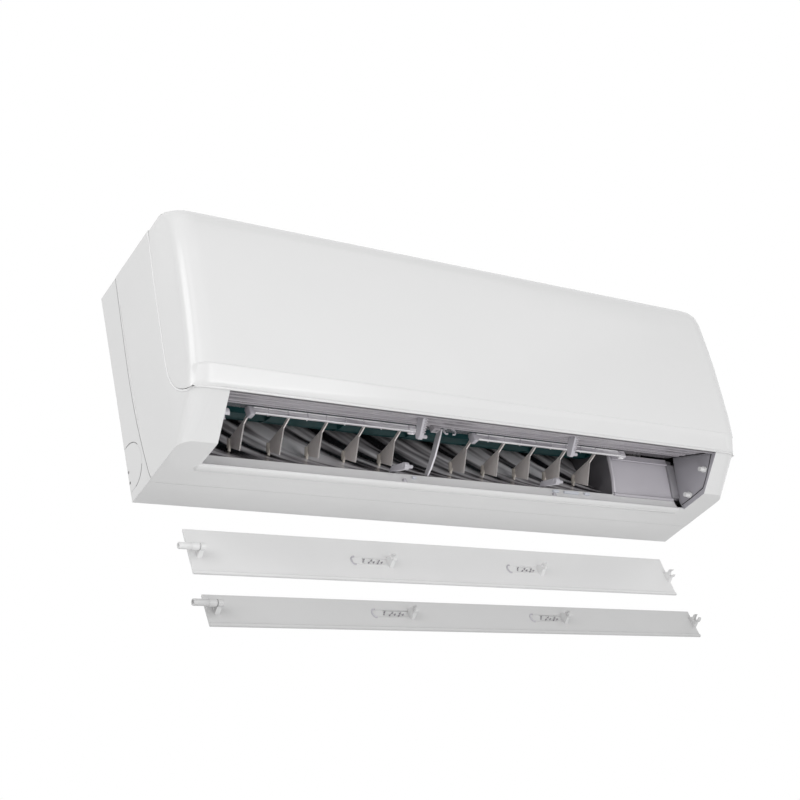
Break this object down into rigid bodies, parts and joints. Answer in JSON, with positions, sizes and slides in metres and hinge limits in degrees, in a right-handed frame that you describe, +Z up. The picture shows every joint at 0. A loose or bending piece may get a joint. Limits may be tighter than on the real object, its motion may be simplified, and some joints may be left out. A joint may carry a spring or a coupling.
{
  "type": "split air conditioner indoor unit",
  "caption": "Wall-hung split air conditioner indoor unit with a hinged curved front panel, sliding filters, cross-flow fan, swinging vanes and two louvers taken off below the air outlet.",
  "frame": {"origin": "centre of the mounting plate's back face, which lies against the wall", "axes": "+X along the unit towards its right end as seen from the front, +Y into the wall, +Z up; the front faces -Y"},
  "size_m": [0.837, 0.2035, 0.448],
  "materials": {
    "casing_white": "gloss",
    "frame_white": "satin",
    "louver_white": "satin",
    "duct_grey": "gloss",
    "plate_grey": "satin",
    "vane_grey": "satin",
    "link_clear": "gloss",
    "fan_teal": "satin",
    "filter_grey": "matt",
    "steel": "satin",
    "fin_aluminium": "satin",
    "pipe_copper": "bright",
    "nut_brass": "bright",
    "bearing_rubber": "matt",
    "board_green": "satin",
    "dark_plastic": "satin"
  },
  "bodies": {
    "unit": {"mounting_plate": "steel", "rear_chassis": "frame_white", "front_frame": "frame_white", "top_grille": "frame_white", "drain_pan": "duct_grey", "fan_bearing": "bearing_rubber", "fan_motor": "steel", "motor_cover": "dark_plastic", "front_coil": "fin_aluminium", "front_coil_left_plate": "steel", "front_coil_right_plate": "steel", "upper_coil": "fin_aluminium", "upper_coil_left_plate": "steel", "upper_coil_right_plate": "steel", "centre_post": "vane_grey", "outlet_blank_plate": "plate_grey", "outlet_end_cap": "dark_plastic", "upper_louver_motor": "steel", "lower_louver_motor": "steel", "control_box": "dark_plastic", "control_board": "board_green", "terminal_block": "plate_grey", "control_box_cover": "frame_white", "display_module": "dark_plastic", "pipe_knockout_left": "frame_white", "pipe_knockout_right": "frame_white", "frame_screw_1": "steel", "frame_screw_2": "steel", "frame_screw_3": "steel", "gas_pipe": "pipe_copper", "gas_flare_nut": "nut_brass", "liquid_pipe": "pipe_copper", "liquid_flare_nut": "nut_brass"},
    "front_panel": {"front_panel": "casing_white"},
    "air_filter_left": {"air_filter_left": "filter_grey"},
    "air_filter_right": {"air_filter_right": "filter_grey"},
    "fan": {"cross_flow_fan": "fan_teal", "motor_shaft": "steel"},
    "manual_button": {"manual_button": "louver_white"},
    "upper_drive": {"upper_drive_stub": "frame_white"},
    "lower_drive": {"lower_drive_stub": "frame_white"},
    "upper_bush": {"upper_louver_bush": "plate_grey"},
    "lower_bush": {"lower_louver_bush": "plate_grey"},
    "upper_louver": {"upper_louver": "louver_white"},
    "lower_louver": {"lower_louver": "louver_white"},
    "vane_left_1": {"vane_left_1": "vane_grey"},
    "vane_left_2": {"vane_left_2": "vane_grey"},
    "vane_left_3": {"vane_left_3": "vane_grey"},
    "vane_left_4": {"vane_left_4": "vane_grey"},
    "vane_left_5": {"vane_left_5": "vane_grey"},
    "vane_link_left": {"vane_link_left": "link_clear"},
    "vane_right_1": {"vane_right_1": "vane_grey"},
    "vane_right_2": {"vane_right_2": "vane_grey"},
    "vane_right_3": {"vane_right_3": "vane_grey"},
    "vane_right_4": {"vane_right_4": "vane_grey"},
    "vane_right_5": {"vane_right_5": "vane_grey"},
    "vane_link_right": {"vane_link_right": "link_clear"}
  },
  "joints": [
    {"name": "panel_open", "type": "hinge", "parent": "unit", "child": "front_panel", "pos_m": [0, -0.146, 0.1328], "axis": [-1, 0, 0], "range_deg": [0, 60]},
    {"name": "filter_left_slide", "type": "slide", "parent": "unit", "child": "air_filter_left", "axis": [0, 0.2126, 0.9771], "range_m": [0, 0.2]},
    {"name": "filter_right_slide", "type": "slide", "parent": "unit", "child": "air_filter_right", "axis": [0, 0.2126, 0.9771], "range_m": [0, 0.2]},
    {"name": "fan_spin", "type": "hinge", "parent": "unit", "child": "fan", "pos_m": [0, -0.078, -0.011], "axis": [1, 0, 0], "continuous": true},
    {"name": "button_press", "type": "slide", "parent": "unit", "child": "manual_button", "axis": [0, 1, 0], "range_m": [0, 0.0025], "stiffness_N_per_m": 150},
    {"name": "upper_louver_lift", "type": "hinge", "parent": "unit", "child": "upper_bush", "pos_m": [0, -0.0379, -0.1018], "axis": [-1, 0, 0], "range_deg": [0, 90]},
    {"name": "upper_louver_swing", "type": "hinge", "parent": "upper_bush", "child": "upper_louver", "pos_m": [0, -0.0341, -0.2089], "axis": [-1, 0, 0], "range_deg": [-88, 33.9]},
    {"name": "upper_drive_turn", "type": "hinge", "parent": "unit", "child": "upper_drive", "pos_m": [0, -0.145, -0.1056], "axis": [-1, 0, 0], "range_deg": [-88, 33.9]},
    {"name": "lower_louver_lift", "type": "hinge", "parent": "unit", "child": "lower_bush", "pos_m": [0, 0.01338, -0.17191], "axis": [-1, 0, 0], "range_deg": [0, 82.4]},
    {"name": "lower_louver_swing", "type": "hinge", "parent": "lower_bush", "child": "lower_louver", "pos_m": [0, -0.0499, -0.2839], "axis": [-1, 0, 0], "range_deg": [-42, 0]},
    {"name": "lower_drive_turn", "type": "hinge", "parent": "unit", "child": "lower_drive", "pos_m": [0, -0.106, -0.124], "axis": [-1, 0, 0], "range_deg": [-42, 0]},
    {"name": "vane_left_1_turn", "type": "hinge", "parent": "unit", "child": "vane_left_1", "pos_m": [-0.31182, -0.055, -0.085], "axis": [0, -0.42, 0.9075], "range_deg": [-35, 35]},
    {"name": "vane_left_2_turn", "type": "hinge", "parent": "unit", "child": "vane_left_2", "pos_m": [-0.25968, -0.055, -0.085], "axis": [0, -0.42, 0.9075], "range_deg": [-35, 35]},
    {"name": "vane_left_3_turn", "type": "hinge", "parent": "unit", "child": "vane_left_3", "pos_m": [-0.20753, -0.055, -0.085], "axis": [0, -0.42, 0.9075], "range_deg": [-35, 35]},
    {"name": "vane_left_4_turn", "type": "hinge", "parent": "unit", "child": "vane_left_4", "pos_m": [-0.15539, -0.055, -0.085], "axis": [0, -0.42, 0.9075], "range_deg": [-35, 35]},
    {"name": "vane_left_5_turn", "type": "hinge", "parent": "unit", "child": "vane_left_5", "pos_m": [-0.10324, -0.055, -0.085], "axis": [0, -0.42, 0.9075], "range_deg": [-35, 35]},
    {"name": "vane_link_left_turn", "type": "hinge", "parent": "vane_left_1", "child": "vane_link_left", "pos_m": [-0.30926, -0.1075, -0.0715], "axis": [0, -0.42, 0.9075], "range_deg": [-35, 35]},
    {"name": "vane_right_1_turn", "type": "hinge", "parent": "unit", "child": "vane_right_1", "pos_m": [0.00722, -0.055, -0.085], "axis": [0, -0.42, 0.9075], "range_deg": [-35, 35]},
    {"name": "vane_right_2_turn", "type": "hinge", "parent": "unit", "child": "vane_right_2", "pos_m": [0.05936, -0.055, -0.085], "axis": [0, -0.42, 0.9075], "range_deg": [-35, 35]},
    {"name": "vane_right_3_turn", "type": "hinge", "parent": "unit", "child": "vane_right_3", "pos_m": [0.11151, -0.055, -0.085], "axis": [0, -0.42, 0.9075], "range_deg": [-35, 35]},
    {"name": "vane_right_4_turn", "type": "hinge", "parent": "unit", "child": "vane_right_4", "pos_m": [0.16365, -0.055, -0.085], "axis": [0, -0.42, 0.9075], "range_deg": [-35, 35]},
    {"name": "vane_right_5_turn", "type": "hinge", "parent": "unit", "child": "vane_right_5", "pos_m": [0.2158, -0.055, -0.085], "axis": [0, -0.42, 0.9075], "range_deg": [-35, 35]},
    {"name": "vane_link_right_turn", "type": "hinge", "parent": "vane_right_1", "child": "vane_link_right", "pos_m": [0.00978, -0.1075, -0.0715], "axis": [0, -0.42, 0.9075], "range_deg": [-35, 35]}
  ],
  "couplings": [
    {"joint": "upper_drive_turn", "follows": "upper_louver_swing", "ratio": 1},
    {"joint": "lower_drive_turn", "follows": "lower_louver_swing", "ratio": 1},
    {"joint": "vane_left_2_turn", "follows": "vane_left_1_turn", "ratio": 1},
    {"joint": "vane_left_3_turn", "follows": "vane_left_1_turn", "ratio": 1},
    {"joint": "vane_left_4_turn", "follows": "vane_left_1_turn", "ratio": 1},
    {"joint": "vane_left_5_turn", "follows": "vane_left_1_turn", "ratio": 1},
    {"joint": "vane_link_left_turn", "follows": "vane_left_1_turn", "ratio": -1},
    {"joint": "vane_right_2_turn", "follows": "vane_right_1_turn", "ratio": 1},
    {"joint": "vane_right_3_turn", "follows": "vane_right_1_turn", "ratio": 1},
    {"joint": "vane_right_4_turn", "follows": "vane_right_1_turn", "ratio": 1},
    {"joint": "vane_right_5_turn", "follows": "vane_right_1_turn", "ratio": 1},
    {"joint": "vane_link_right_turn", "follows": "vane_right_1_turn", "ratio": -1}
  ]
}
